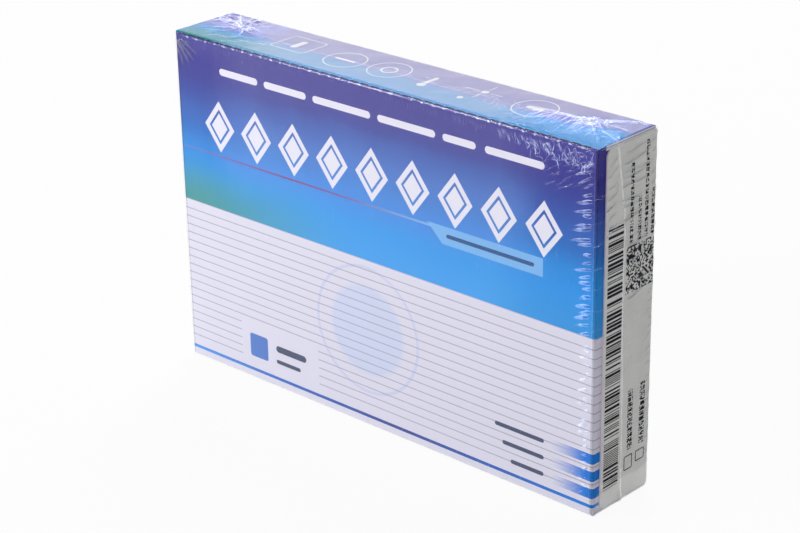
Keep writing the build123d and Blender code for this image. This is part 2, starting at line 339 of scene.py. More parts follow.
def all_folds():
    """Every fold of the film, as rows of fold_rows."""
    strewn = [strew(panel, *row) for panel, rows in STREWN.items() for row in rows]
    return np.concatenate([*strewn, *(fan(*row) for row in FANS), SINGLE])


def fold_shells(rows, radius, height):
    """One closed shell per fold: 12 rings of 7 points. The middle line runs from start to end, and is moved
    sideways by bow x 4s(1 - s) + curl x sin(2 pi s) at the share s of its length. Its form is sqrt(s) x
    (1 - s)^0.8 / 0.42, or the root of that where the fold has no hollow. The half width is width x form, and the
    height is rise x form x (1 - t^2) at the share t from the middle to the rim, which lies just under the film.
    Gives points, two arrays of faces, milkiness, which is partly painted highlight, and painted shade."""
    rings, steps = 12, np.array((-1, -0.8, -0.5, 0, 0.5, 0.8, 1))
    count, sides = len(rows), len(steps)
    start, end = rows[:, None, 0:3], rows[:, None, 3:6]
    width, rise, rim, fill, hollow, bow, curl = rows[:, 6:, None].transpose(1, 0, 2)
    share = np.linspace(0.015, 0.985, rings)
    panel = np.argmin(np.minimum(abs(rows[:, :3] - SKIN_LOW), abs(rows[:, :3] - SKIN_HIGH)), axis=1)
    outward = np.zeros((count, 1, 3))
    outward[np.arange(count), 0, panel] = np.sign(rows[np.arange(count), panel])
    sideways = np.cross(outward, end - start)
    sideways /= np.linalg.norm(sideways, axis=-1, keepdims=True)
    moved = bow * 4 * share * (1 - share) + curl * np.sin(2 * math.pi * share)
    middle = start + share[:, None] * (end - start) + moved[..., None] * sideways
    across = np.cross(outward, np.gradient(middle, axis=1))
    across /= np.linalg.norm(across, axis=-1, keepdims=True)
    form = (np.sqrt(share) * (1 - share) ** 0.8 / 0.42) ** np.where(hollow > 0, 1.0, 0.5)
    flat = middle[:, :, None] + ((width * form)[..., None] * steps)[..., None] * across[:, :, None]
    flat = wrap(flat, outward[:, :, None]).reshape(-1, 3)
    lift = ((rise * form)[..., None] * (1 - steps**2)).ravel() - RIM_DEPTH
    place, turned = round_edges(flat, radius)
    points = place + (height * film_relief(flat) + lift)[:, None] * turned

    # milky rim, a filling that starts past the hollow, all uneven and fading at both ends; this milk stands partly for
    # the folds' highlights, as painted highlight
    past_hollow = fade(share, 0.2, 0.55)
    inner = fill * np.where(hollow > 0, past_hollow, 1.0)
    shape = [0.4 * rim, rim, inner, inner, inner, rim, 0.4 * rim]
    milk = np.stack([part * np.ones(rings) for part in shape], axis=-1)
    milk = milk * (fade(share, 0, 0.1) * fade(share, 1.0, 0.78))[:, None]
    milk = np.clip(milk.ravel() * np.clip(0.8 + 0.3 * waves(flat, 2.2, 61), 0.3, 1.1), 0, 1)
    # painted shade: the hollow darkens what shows through the fold
    dark = hollow * np.where(fill > 0, 1 - past_hollow, 1.0) * fade(share, 0, 0.12) * fade(share, 1.0, 0.7)
    shade = (dark[..., None] * np.array((0, 0, 0.8, 1, 0.8, 0, 0))).ravel()

    # a tube of quads round each ring's points, and a cap at each end
    first = np.arange(count)[:, None] * rings * sides
    here = first[..., None] + np.arange(rings - 1)[:, None] * sides
    spot = np.arange(sides)
    beyond = np.roll(spot, -1)
    tube = np.stack([here + spot, here + sides + spot, here + sides + beyond, here + beyond], axis=-1)
    caps = np.concatenate([first + spot, first + (rings - 1) * sides + spot[::-1]])
    return points, tube.reshape(-1, 4), caps, milk, shade


# Places on the top, near the left knot, where the film lies clear: X, Y, reach along each and depth
CLEAR_SPOTS = (
    (-70.3, 6.4, 2.0, 1.0, 0.9),
    (-70.8, 9.5, 1.0, 0.6, 0.6),
    (-61.7, 8.1, 1.8, 0.9, 0.8),
    (-61.0, 10.2, 1.6, 0.6, 0.5),
    (-65.2, 5.3, 1.2, 0.7, 0.5),
    (-66.1, 9.0, 1.0, 0.5, 0.4),
    (-52.3, 1.2, 1.0, 0.5, 0.5),
    (-64.5, -2.0, 3.4, 0.7, 0.8),
)


def film_relief(flat):
    """Height of the film over its box: a tent and crumples at each knot, soft drapes on the ends, a ridged net,
    slack corners, and waves everywhere, because the film is nowhere quite flat."""
    x, y, z = flat.T
    on_top = fade(z, TOP - 1.0, TOP)
    relief = 0.02 * waves(flat, 12, 36) + 0.008 * waves(flat, 4, 37)
    for knot, seed, size in ((RIGHT_KNOT, 31, 1.0), (LEFT_KNOT, 32, 0.6)):
        away = np.hypot(x - knot[0], y - knot[1])
        tent = 0.28 * np.exp(-away / 6.0) + 0.3 * np.exp(-((away / 2.0) ** 2))
        crumple = np.abs(waves(flat, 1.3, seed)) * np.exp(-((away / 2.6) ** 2))
        relief += on_top * size * (tent + 0.14 * crumple)
    # drapes along the ends, strongest near the top
    on_end = fade(np.abs(x), RIGHT - 1.0, RIGHT)
    near_top = (0.25 + 0.75 * fade(z, 55, 78)) * fade(z, TOP, TOP - 3)
    relief += 0.11 * waves(flat * np.array((1.0, 0.3, 1.0)), 2.8, 39) * on_end * near_top
    # net of ridges left and behind the left knot
    net = (1 - np.abs(np.tanh(waves(flat, 5.0, 33)))) ** 2
    relief += 0.35 * net * on_top * fade(x, -54, -62) * fade(y, 0.5, 3.0) * fade(y, 11.4, 9.0)
    # wrinkled front half between the right knot and the front edge
    rough = np.abs(waves(flat * np.array((1.0, 0.45, 1.0)), 2.2, 34))
    relief += 0.12 * rough * on_top * fade(x, 34, 56) * fade(y, 1.5, -1.5)
    # the film falls from a ridge left of the right knot to the front edge
    ridge = np.clip((y - FRONT) / 13.3, 0, 1) * fade(y, 3.0, 1.8)
    relief += 0.5 * ridge * on_top * fade(x, 40, 54) * fade(x, 74, 70)
    # slack film at the four top corners, most at the back right, and a small ear behind the left knot
    for corner_x, corner_y, rise, reach in (
        (RIGHT, BACK, 0.45, 1.5), (RIGHT, FRONT, 0.15, 1.5), (LEFT, BACK, 0.2, 1.6), (LEFT, FRONT, 0.1, 1.4),
        (-72, BACK, 0.5, 0.7),
    ):
        away = np.sqrt((x - corner_x) ** 2 + (y - corner_y) ** 2 + (z - TOP) ** 2)
        relief += rise * np.exp(-((away / reach) ** 2)) * (0.75 + 0.25 * waves(flat, 1.6, 35))
    # folded-over foot of the weld on the right end
    away = np.sqrt((x - RIGHT) ** 2 + ((y + 0.6) / 1.5) ** 2 + ((z - 1.6) / 1.1) ** 2)
    relief += 0.5 * np.exp(-(away**2)) * (0.8 + 0.2 * waves(flat, 1.2, 38))
    return np.clip(relief, -0.06, 1.3)


def clear_spots(x, y):
    """Sum of soft round hills, depth x e^(-dx^2 - dy^2) with both distances in reaches, one for each clear spot."""
    total = 0.0
    for spot_x, spot_y, reach_x, reach_y, depth in CLEAR_SPOTS:
        total += depth * np.exp(-(((x - spot_x) / reach_x) ** 2) - ((y - spot_y) / reach_y) ** 2)
    return total


def crinkle(points):
    """Where the film is too finely crumpled for its grid, and scatters more than it mirrors: near the knots, in
    front of the right one, and over the left end of the top."""
    x, y, z = points.T
    on_top = fade(z, TOP - 1.0, TOP - 0.2)
    amount = np.zeros(len(points))
    for knot, reach in ((RIGHT_KNOT, 6.0), (LEFT_KNOT, 5.0)):
        amount += on_top * np.exp(-((np.hypot(x - knot[0], y - knot[1]) / reach) ** 2))
    amount += on_top * fade(x, 34, 56) * fade(y, 2, -1)
    amount += on_top * fade(x, -42, -56) * (0.1 + 0.8 * fade(y, 3, -2))
    amount += 1.2 * on_top * clear_spots(x, y)
    return np.clip(amount, 0, 1)


def haze(points):
    """Where the film is milky in flecks: gathered double at the knots."""
    x, y, z = points.T
    on_top = fade(z, TOP - 1.0, TOP - 0.2)
    amount = np.zeros(len(points))
    for knot, reach, most in ((RIGHT_KNOT, 3.0, 0.65), (LEFT_KNOT, 2.4, 0.5)):
        amount += most * on_top * np.exp(-((np.hypot(x - knot[0], y - knot[1]) / reach) ** 2))
    amount += 0.25 * on_top * fade(x, 34, 50) * fade(y, 1.5, -1.5) * fade(y, -11, -6)
    return np.clip(amount, 0, 1)


def veil(points):
    """Where the film is evenly milky: clouds round the left knot with clear spots in them, a band from the right
    knot to the back corner, a patch left of that knot, its corner panel, and the top's front edge."""
    x, y, z = points.T
    on_top = fade(z, TOP - 1.2, TOP - 0.4)
    cloud = 0.03 + 0.21 * fade(y, -4, 3) + 0.10 * waves(points * np.array((1.0, 1.6, 1.0)), 5, 41)
    cloud -= clear_spots(x, y)
    amount = np.clip(cloud, 0, 1) * fade(x, -42, -57) * np.maximum(fade(y, -11.0, -9.6), fade(x, -62, -54))
    knot, corner = np.array((61.5, 2.6)), np.array((74.7, 11.3))
    line = corner - knot
    spot = points[:, :2] - knot
    share = np.clip(spot @ line / (line @ line), 0, 1)
    away = np.linalg.norm(spot - share[:, None] * line, axis=1)
    amount += 0.6 * np.exp(-((away / (0.75 - 0.45 * share)) ** 2))
    patch = fade(np.abs(y - 1.7), 1.6, 0.9) * fade(x, 47, 54) * fade(x, 63, 61)
    amount += patch * (0.85 + 0.15 * waves(points, 3, 42))
    corner_panel = fade(x, 61, 65) * fade(x, 74.6, 73.6) * fade(away, 0.2, 1.0) * fade(y, -9, -5)
    amount += np.clip(0.05 + 0.12 * waves(points, 4, 43), 0, 1) * corner_panel
    amount += 0.08 * fade(y, -8, -11) * fade(x, 56, 40) * fade(x, -52, -42)
    return np.clip(amount * on_top, 0, 1)


def film_gloss(node, settings, bump, clear):
    """The film's own look: clear, under a gloss whose share is plain + growth x facing^4, less where it is
    crinkled."""
    facing = node("LayerWeight", {"Blend": 0.5, "Normal": bump}, output="Facing")
    steep = node("Math POWER", [facing, 4.0])
    share = node("Math MULTIPLY_ADD", [steep, settings.grazing_gloss, settings.plain_gloss], use_clamp=True)
    crumple = node("Attribute", output="Fac", attribute_name="crinkle")
    kept = node("Math MULTIPLY_ADD", [crumple, -0.65, 1.0])
    share = node("Math MULTIPLY", [share, kept])
    look = {"Color": (1, 1, 1, 1), "Roughness": settings.roughness, "Normal": bump}
    gloss = node("BsdfGlossy", look, distribution="GGX")
    return node("MixShader", [share, clear, gloss])


def milky_film(node, colour, bump, sheen_share):
    """Film in several layers: most of what lies under it shows through, and a pale body and a soft sheen, which
    shows the bright room, are added to that."""
    under = node("BsdfTransparent", {"Color": (0.9, 0.9, 0.92, 1)})
    body = node("BsdfDiffuse", {"Color": colour, "Normal": bump})
    sheen = node("BsdfGlossy", {"Color": colour, "Roughness": 0.35, "Normal": bump}, distribution="GGX")
    return node("AddShader", [under, node("MixShader", [sheen_share, body, sheen])])


def film_material(settings):
    """Clear polyolefin shrink film, blown and shrunk on: no colour of its own, a gloss that grows towards
    grazing view, fine crumples where it gathers, and milky where it lies double."""
    material, node = new_material("polyolefin_shrink_film")
    place = node("TexCoord", output="Object")
    fine = node("TexNoise", {"Vector": place, "Scale": 1400.0, "Detail": 2.0, "Roughness": 0.6, "Distortion": 0.8})
    crumple = node("Attribute", output="Fac", attribute_name="crinkle")
    amount = node("Math MULTIPLY_ADD", [crumple, 0.28, 0.02])
    bump = node("Bump", {"Strength": amount, "Distance": 0.0004, "Height": fine})
    clear = node("BsdfTransparent", {"Color": (1, 1, 1, 1)})
    skin = film_gloss(node, settings, bump, clear)
    # where the film gathers, it is milky in flecks about 1 mm long
    cloud = node("Attribute", output="Fac", attribute_name="haze")
    fleck = node("TexNoise", {"Vector": place, "Scale": 1100.0, "Detail": 2.0, "Distortion": 1.5})
    fleck = node("MapRange", [fleck, 0.45, 0.62, 0.05, 1.0])
    cloud = node("Math MULTIPLY", [cloud, fleck])
    even = node("Attribute", output="Fac", attribute_name="veil")
    cloud = node("Math MAXIMUM", [cloud, even])
    whole = node("MixShader", [cloud, skin, milky_film(node, settings.milk, bump, 0.5)])
    node("OutputMaterial", [whole])
    return material


def fold_material(settings):
    """The same film, gathered in folds: milky along the rims, partly as painted highlight, and in a pocket's hollow
    clear and a little dark, as painted shade.
    """
    material, node = new_material("folded_shrink_film")
    place = node("TexCoord", output="Object")
    uneven = node("TexNoise", {"Vector": place, "Scale": 900.0, "Detail": 2.0})
    bump = node("Bump", {"Strength": 0.3, "Distance": 0.0002, "Height": uneven})
    # painted shade: the shade attribute darkens what shows through a fold
    shade = node("Attribute", output="Fac", attribute_name="shade")
    shade = node("ValToRGB", [shade], stops=[(0.0, "ffffff"), (1.0, "30344c")])
    clear = node("BsdfTransparent", {"Color": shade})
    # milky rims and fillings, partly real milkiness and partly painted highlight
    milk = node("Attribute", output="Fac", attribute_name="milk")
    skin = film_gloss(node, settings, bump, clear)
    whole = node("MixShader", [milk, skin, milky_film(node, settings.milk, bump, 0.25)])
    # a fold is one gathered layer, so the far side of its shell isn't seen
    far_side = node("NewGeometry", output="Backfacing")
    whole = node("MixShader", [far_side, whole, node("BsdfTransparent", {"Color": (1, 1, 1, 1)})])
    node("OutputMaterial", [whole])
    return material


class FilmSettings(bpy.types.PropertyGroup):
    edge_radius: FloatProperty(
        name="Edge radius", description="Radius with which the film bridges an edge of the carton",
        default=1.2 * MM, min=0, unit="LENGTH",
    )
    crease_height: FloatProperty(
        name="Crease height", description="Factor on the height of all waves and crumples",
        default=1.0, min=0, max=1.5, subtype="FACTOR",
    )
    plain_gloss: FloatProperty(
        name="Gloss face-on", description="Share of light that the film reflects seen face-on", default=0.010, **SHARE
    )
    grazing_gloss: FloatProperty(
        name="Gloss at grazing view", description="Growth of that share towards grazing view", default=1.55, min=0
    )
    roughness: FloatProperty(
        name="Roughness", description="Roughness of the film's surface", default=0.07, **SHARE
    )
    milk: FloatVectorProperty(
        name="Milky colour", description="Colour that film adds where it lies double or is fused",
        default=linear("b4c0d3"), **COLOUR,
    )


def add_values(mesh, **fields):
    """Fields of one number a point, kept on the mesh by name for its material."""
    for name, values in fields.items():
        mesh.attributes.new(name, "FLOAT", "POINT").data.foreach_set("value", values)


class SEALED_OT_film(bpy.types.Operator):
    """Make the shrink film: one closed skin with its waves, drapes and knots"""

    bl_idname = "sealed.film"
    bl_label = "Shrink film"

    def execute(self, context):
        settings = context.scene.sealed_film
        lines = [
            grid_lines((LEFT, -44, 0.45), (-44, 30, 0.75), (30, 56, 0.42), (56, RIGHT, 0.34)),
            grid_lines((FRONT, BACK, 0.32)),
            grid_lines((BASE, 60, 0.6), (60, TOP, 0.36)),
        ]
        flat, quads = box_skin(lines)
        place, outward = round_edges(flat, settings.edge_radius / MM)
        points = place + settings.crease_height * film_relief(flat)[:, None] * outward
        points[:, 2] = np.maximum(points[:, 2], 0)
        piece = fill_mesh("film_skin", points, quads)
        thin = piece.modifiers.new("thin", "DECIMATE")
        thin.ratio = SKIN_TRIANGLES / (2 * len(quads))
        reduced = bpy.data.meshes.new_from_object(piece.evaluated_get(context.evaluated_depsgraph_get()))
        piece.modifiers.remove(thin)
        piece.data = reduced
        reduced.name = "film_skin"
        reduced.polygons.foreach_set("use_smooth", np.ones(len(reduced.polygons), bool))
        spots = np.zeros(3 * len(reduced.vertices))
        reduced.vertices.foreach_get("co", spots)
        flat = np.clip(spots.reshape(-1, 3) / MM, SKIN_LOW, SKIN_HIGH)
        add_values(reduced, crinkle=crinkle(flat), haze=haze(flat), veil=veil(flat))
        reduced.materials.clear()
        reduced.materials.append(film_material(settings))
        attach(piece, "root")
        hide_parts("shrink_film")
        return {"FINISHED"}


class SEALED_OT_folds(bpy.types.Operator):
    """Make the film's folds: pockets, pleats, drapes, curls and ticks, each a thin closed shell on the skin"""

    bl_idname = "sealed.folds"
    bl_label = "Film folds"

    def execute(self, context):
        settings = context.scene.sealed_film
        points, tube, caps, milk, shade = fold_shells(all_folds(), settings.edge_radius / MM, settings.crease_height)
        points[:, 2] = np.maximum(points[:, 2], 0)
        piece = fill_mesh("film_folds", points, tube, caps)
        add_values(piece.data, milk=milk, shade=shade)
        piece.data.materials.append(fold_material(settings))
        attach(piece, "root")
        return {"FINISHED"}


# Weld


def spline(knots, step=0.5):
    """A smooth line through knots: the Catmull-Rom cubic of each span, cut into equal steps."""
    knots = np.array(knots, float)
    padded = np.concatenate([2 * knots[:1] - knots[1:2], knots, 2 * knots[-1:] - knots[-2:-1]])
    parts = []
    for a, b, c, d in zip(padded, padded[1:], padded[2:], padded[3:]):
        share = np.linspace(0, 1, max(2, round(np.linalg.norm(c - b) / step)), endpoint=False)[:, None]
        square, cube = 2 * a - 5 * b + 4 * c - d, 3 * b - a - 3 * c + d
        parts.append(0.5 * (2 * b + (c - a) * share + square * share**2 + cube * share**3))
    return np.concatenate(parts + [knots[-1:]])


def weld_line():
    """The weld's line on the sharp box: up the right end, along the top through both knots, down the left."""
    right = spline([(-0.4, 0.5), (-0.8, 29.2), (-1.6, 57.2), (-1.5, 75.9), (-2.3, 84), (-3.9, 93.5), (-4.9, TOP)])
    top = spline([
        (RIGHT, -4.9), (68.4, -2.0), RIGHT_KNOT, (52.6, 0.4), (41.3, -0.6), (31.6, 0.2), (13.5, -0.6), (-9, -0.2),
        (-31.6, -0.8), (-48, 0.2), LEFT_KNOT, (-68.4, 4.9), (LEFT, 6.7),
    ])
    left = spline([(6.7, TOP), (5.4, 93.7), (3.2, 83.7), (2.1, 75.8), (2.2, 56.8), (1.1, 28.9), (0.5, 0.5)])
    return np.concatenate([
        np.insert(right, 0, RIGHT, axis=1)[:-1],
        np.insert(top, 2, TOP, axis=1),
        np.insert(left, 0, LEFT, axis=1)[1:],
    ])


def bead(line, outward, half_width, rise, sides=10):
    """A flat round bead along a line: an ellipse on each point, square to the line, drawn in to a point at
    both ends. Gives points and outward faces."""
    along = np.gradient(line, axis=0)
    along /= np.linalg.norm(along, axis=1, keepdims=True)
    across = np.cross(outward, along)
    angle = np.linspace(0, 2 * math.pi, sides, endpoint=False)
    rings = (
        line[:, None, :]
        + across[:, None, :] * (half_width[:, None] * np.cos(angle))[:, :, None]
        + outward[:, None, :] * (rise[:, None] * (0.25 + np.sin(angle)))[:, :, None]
    )
    points = np.concatenate([rings.reshape(-1, 3), line[:1], line[-1:]])
    ring = np.arange(sides)
    beyond = np.roll(ring, -1)
    start = np.arange(len(line) - 1)[:, None] * sides
    quads = np.stack([start + ring, start + beyond, start + sides + beyond, start + sides + ring], axis=-1)
    tail, tips = (len(line) - 1) * sides, len(points) + np.array((-2, -1))
    caps = [
        np.stack([beyond, ring, np.full(sides, tips[0])], axis=-1),
        np.stack([tail + ring, tail + beyond, np.full(sides, tips[1])], axis=-1),
    ]
    return points, quads.reshape(-1, 4), np.concatenate(caps)


def weld_material(settings):
    """The same film, fused by the hot wire into a bead: milky, soft gloss, uneven."""
    material, node = new_material("fused_film_bead")
    place = node("TexCoord", output="Object")
    uneven = node("TexNoise", {"Vector": place, "Scale": 500.0, "Detail": 2.0})
    bump = node("Bump", {"Strength": 0.5, "Distance": 0.0003, "Height": uneven})
    clear = node("BsdfTransparent", {"Color": (1, 1, 1, 1)})
    whole = node("MixShader", [0.16, clear, milky_film(node, linear("e6e8ee"), bump, 0.4)])
    node("OutputMaterial", [whole])
    return material


class SEALED_OT_weld(bpy.types.Operator):
    """Make the weld bead that runs up one end, along the top and down the other end"""

    bl_idname = "sealed.weld"
    bl_label = "Weld bead"

    def execute(self, context):
        settings = context.scene.sealed_film
        flat = weld_line()
        place, outward = round_edges(flat, settings.edge_radius / MM)
        place = place + (settings.crease_height * film_relief(flat))[:, None] * outward
        # the bead comes to a point in its last four steps, is uneven, and is thinner between the knots
        steps = np.arange(len(flat))
        draw_in = np.sqrt(np.clip(np.minimum(steps, steps[::-1]) / 4, 0.02, 1))
        uneven = 1 + 0.2 * waves(flat, 6, 51)
        between = (flat[:, 2] > TOP - 0.5) * fade(flat[:, 0], -59, -56) * fade(flat[:, 0], 60, 57)
        size = draw_in * uneven * (1 - 0.55 * between)
        piece = fill_mesh("weld_bead", *bead(place, outward, 0.19 * size, 0.10 * size))
        piece.data.materials.append(weld_material(settings))
        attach(piece, "root")
        return {"FINISHED"}


# Printed carton


class PrintSettings(bpy.types.PropertyGroup):
    board_white: FloatVectorProperty(
        name="Board", description="Coated white board with its pale tint", default=linear("e3e1f0"), **COLOUR
    )
    flap_grey: FloatVectorProperty(
        name="Flap", description="Uncoated inside of the board on the outer end flaps",
        default=linear("f0f0ee"), **COLOUR,
    )
    ink: FloatVectorProperty(
        name="Ink", description="Ink of the bars and the code", default=linear("2b2935"), **COLOUR
    )
    line_pitch: FloatProperty(
        name="Line pitch", description="Distance between the ruled lines", default=2.51 * MM, unit="LENGTH"
    )


def shape_reach(node, plane, centre, half, corner):
    """How far a point of a plane is from the inner box of a rounded shape: the length of what is left of
    |point - centre| over the half sides, each less the corner radius."""
    shifted = node("VectorMath SUBTRACT", [plane, (*centre, 0)])
    folded = node("VectorMath ABSOLUTE", [shifted])
    past = node("VectorMath SUBTRACT", [folded, (half[0] - corner, half[1] - corner, 0)])
    past = node("VectorMath MAXIMUM", [past, (0, 0, 0)])
    return node("VectorMath LENGTH", [past], output="Value")


def shapes_mask(node, plane, shapes):
    """1 inside any of some shapes: rows of centre, half sides and corner radius, and for an outline the half
    width of its line."""
    mask = 0.0
    for centre, half, corner, *line in shapes:
        reach = shape_reach(node, plane, centre, half, corner)
        if line:
            inside = node("Math COMPARE", [reach, corner, line[0]])
        else:
            inside = node("Math LESS_THAN", [reach, corner])
        mask = node("Math MAXIMUM", [mask, inside])
    return mask


# Where the board's folds start on each axis, how deep a cut lies in raw board, and how far out the outer flap is
FOLD_X, FOLD_Y, FOLD_TOP, FOLD_BASE = 73.75, 10.65, 98.75, 0.95
RAW_DEPTH, FLAP_DEPTH = 0.70, 0.9
# Lowest and highest point of the front's upper colour field
FIELD_LOW, FIELD_HIGH = 49.8, 99.6


def board_material(settings):
    """Folding boxboard, clay coated, offset printed and varnished outside: a smooth satin print with the
    board's faint cloudiness, bare grey-white board in the open joints, painted shade in the knife cuts, uncoated
    grey-white board on the end flaps."""
    material, node = new_material("printed_boxboard")
    smooth = {"interpolation_type": "SMOOTHSTEP"}
    place = node("TexCoord", output="Object")
    mm = node("VectorMath SCALE", {0: place, "Scale": 1000.0})
    x, y, z = node("SeparateXYZ", [mm], None)

    # Which panel: how far a point is past the start of the folds on each axis
    out_x = node("Math ABSOLUTE", [x])
    past_x = node("Math SUBTRACT", [out_x, FOLD_X])
    past_y = node("Math SUBTRACT", [node("Math ABSOLUTE", [y]), FOLD_Y])
    past_z = node("Math SUBTRACT", [z, FOLD_TOP])
    is_top = node("Math GREATER_THAN", [past_z, node("Math MAXIMUM", [past_x, past_y])])
    is_end = node("Math GREATER_THAN", [past_x, past_y])
    upright = node("Math MAXIMUM", [past_z, node("Math SUBTRACT", [FOLD_BASE, z])])
    past = node("VectorMath MAXIMUM", [node("CombineXYZ", [past_x, past_y, upright]), (0, 0, 0)])
    is_raw = node("Math LESS_THAN", [node("VectorMath LENGTH", [past], "Value"), RAW_DEPTH])
    is_flap = node("Math GREATER_THAN", [past_x, FLAP_DEPTH])

    # The print's own plane: along the front panel, and the same again from the right on the back
    side = node("Math MULTIPLY", [node("Math SIGN", [y]), -1.0])
    u = node("Math MULTIPLY", [x, side])
    plane = node("CombineXYZ", [u, z, 0.0])

    # Upper field: softly clouded, from azure up to violet, deeper towards both edges
    cloud = node("TexNoise", {"Vector": place, "Scale": 38.0, "Detail": 3.0, "Roughness": 0.5})
    cloud = node("Math SUBTRACT", [cloud, 0.5])
    drift = node("Math MULTIPLY_ADD", [cloud, 7.0, z])
    height = node("MapRange", [drift, FIELD_LOW, FIELD_HIGH])
    spots = (0.04, 0.2, 0.33, 0.45, 0.57, 0.69, 0.77, 0.85, 0.95)
    middle, edge = (node("ValToRGB", [height], stops=[*zip(spots, codes.split())]) for codes in (
        "4aa7f1 43a1ee 5296e8 538bd8 5a80cc 526cb8 5259a5 57559f 56519e",
        "3a9ce6 2f98ea 2a8fe0 2f74c8 3862b8 3848a2 3a3d98 3c3896 4a459c",
    ))
    from_middle = node("Math ABSOLUTE", [node("Math MULTIPLY_ADD", [cloud, 30.0, u])])
    at_edge = node("MapRange", [from_middle, 40.0, 64.0], **smooth)
    # teal at the lower left of the field
    teal = overlap(node, node("MapRange", [u, 0.0, -75.0], **smooth), node("MapRange", [drift, 67.0, 50.0], **smooth))
    field = layered(node, middle, (at_edge, edge), (teal, "4a9d9f"))

    # Lower field: white board with a plain disc and a ring, and ruled lines, bare in one patch
    centre, radius, ring_radius = (-3.0, 29.0), 14.5, 18.5
    disc = shape_reach(node, plane, centre, (radius, radius), radius)
    disc = node("MapRange", [disc, radius, 12.0, 0.0, 0.6], **smooth)
    ring = shapes_mask(node, plane, [(centre, (ring_radius, ring_radius), ring_radius, 0.45)])
    near_line = node("Math PINGPONG", [node("Math SUBTRACT", [z, 46.9]), settings.line_pitch / MM / 2])
    ruled = node("Math LESS_THAN", [near_line, 0.15])
    in_lines = node("Math COMPARE", [z, 26.8, 20.9])
    patch = shapes_mask(node, plane, [((-37.5, 10.0), (15.5, 8.0), 0.01)])
    ruled = overlap(node, ruled, in_lines, node("Math SUBTRACT", [1.0, patch]), 0.75)
    # bottom stripe, blue at both ends and indigo in the middle
    stripe = node("Math COMPARE", [z, 3.0, 0.48])
    along = node("MapRange", [u, -75.0, 75.0])
    stripe_colour = node("ValToRGB", [along], stops=[
        (0.0, "4f9aec"), (0.3, "3a6cc4"), (0.55, "43509c"), (0.8, "2f68c0"), (1.0, "1486e6"),
    ])
    # three stripes that grow towards the right edge, with a pale border
    grow = node("MapRange", [u, 60.0, 73.0], **smooth)
    from_band = node("Math PINGPONG", [node("Math SUBTRACT", [z, 11.55]), 2.47])
    in_bands = node("Math COMPARE", [z, 11.5, 6.9])
    border, core = (
        overlap(node, node("Math LESS_THAN", [from_band, half]), in_bands, grow) for half in (1.75, 1.45)
    )
    low = layered(
        node, settings.board_white, (disc, "c9d5f4"), (overlap(node, ring, 0.5), "c3cbee"), (ruled, "9b9bb0"),
        (stripe, stripe_colour), (border, "f4e6ee"), (core, "1b7fe0"),
    )

    # Pale tab with a slanting left end, a bar on it, and the thin line that runs to it
    slant = node("Math GREATER_THAN", [node("Math MULTIPLY_ADD", [z, 1.05, u]), 89.6])
    tab = overlap(node, slant, shapes_mask(node, plane, [((38.0, 64.4), (19.8, 2.5), 0.01)]))
    tab_bar = shapes_mask(node, plane, [((40.5, 64.4), (14.5, 0.55), 0.5)])
    thin = shapes_mask(node, plane, [((-27.0, 66.0), (48.0, 0.30), 0.05)])
    thin_colour = node("ValToRGB", [along], stops=[
        (0.0, "5f86d8"), (0.3, "8a5a94"), (0.45, "7d74b8"), (0.65, "8fc2f4"),
    ])

    # Plain white bars and a row of lozenges in the upper field
    bars = shapes_mask(node, plane, [((middle_u, 91.2), (half, 1.0), 1.0) for middle_u, half in (
        (-49.5, 7.5), (-31.5, 8.0), (-10.5, 10.5), (12.5, 10.0), (30.5, 5.5), (48.5, 9.5),
    )])
    up_row = node("Math ABSOLUTE", [node("Math SUBTRACT", [z, 74.8])])
    lozenge = node("Math MULTIPLY_ADD", [up_row, 0.78, node("Math PINGPONG", [u, 7.25])])
    hollow = node("Math COMPARE", [lozenge, 3.6, 0.45])
    lozenges = node("Math SUBTRACT", [node("Math LESS_THAN", [lozenge, 5.9]), hollow], use_clamp=True)
    lozenges = overlap(node, lozenges, node("Math LESS_THAN", [out_x, 65.0]))
    white = node("Math MAXIMUM", [bars, lozenges])
    # small dark bars at the lower right, and in the bare patch with a plain mark
    dark = shapes_mask(node, plane, [((middle_u, level), (half, thick), thick) for middle_u, level, half, thick in (
        (50.5, 16.4, 8.2, 0.6), (51.8, 11.6, 6.9, 0.6), (53.2, 6.8, 5.5, 0.6),
        (-33.0, 12.4, 6.0, 1.0), (-34.2, 8.4, 4.8, 0.6),
    )])
    mark = shapes_mask(node, plane, [((-46.0, 10.8), (3.6, 3.6), 0.8)])

    # the two fields meet with a hair of misregister
    is_field = node("Math GREATER_THAN", [z, FIELD_LOW])
    seam = overlap(node, node("Math COMPARE", [z, FIELD_LOW - 0.1, 0.12]), 0.5)
    front = layered(
        node, low, (is_field, field), (seam, "c9a8c0"), (tab, "84bdf2"), (thin, thin_colour), (white, "ebe9f6"),
        (dark, "4d5674"), (mark, "5a83cf"), (tab_bar, "3c5f97"),
    )

    # Top panel: deep violet behind, azure in front, which draws back towards the right end
    wander = node("TexNoise", {"Vector": place, "Scale": 130.0, "Detail": 2.0})
    wander = node("Math SUBTRACT", [wander, 0.5])
    drawn_back = node("MapRange", [x, 58.0, 70.0, 0.0, -3.5], **smooth)
    depth_y = node("Math ADD", [node("Math MULTIPLY_ADD", [wander, 3.2, y]), drawn_back])
    top = node("ValToRGB", [node("MapRange", [depth_y, -11.5, 11.5])], stops=[
        (0.0, "1893e0"), (0.36, "2b9ce6"), (0.43, "5a88dc"), (0.5, "787ace"), (1.0, "7d74c6"),
    ])
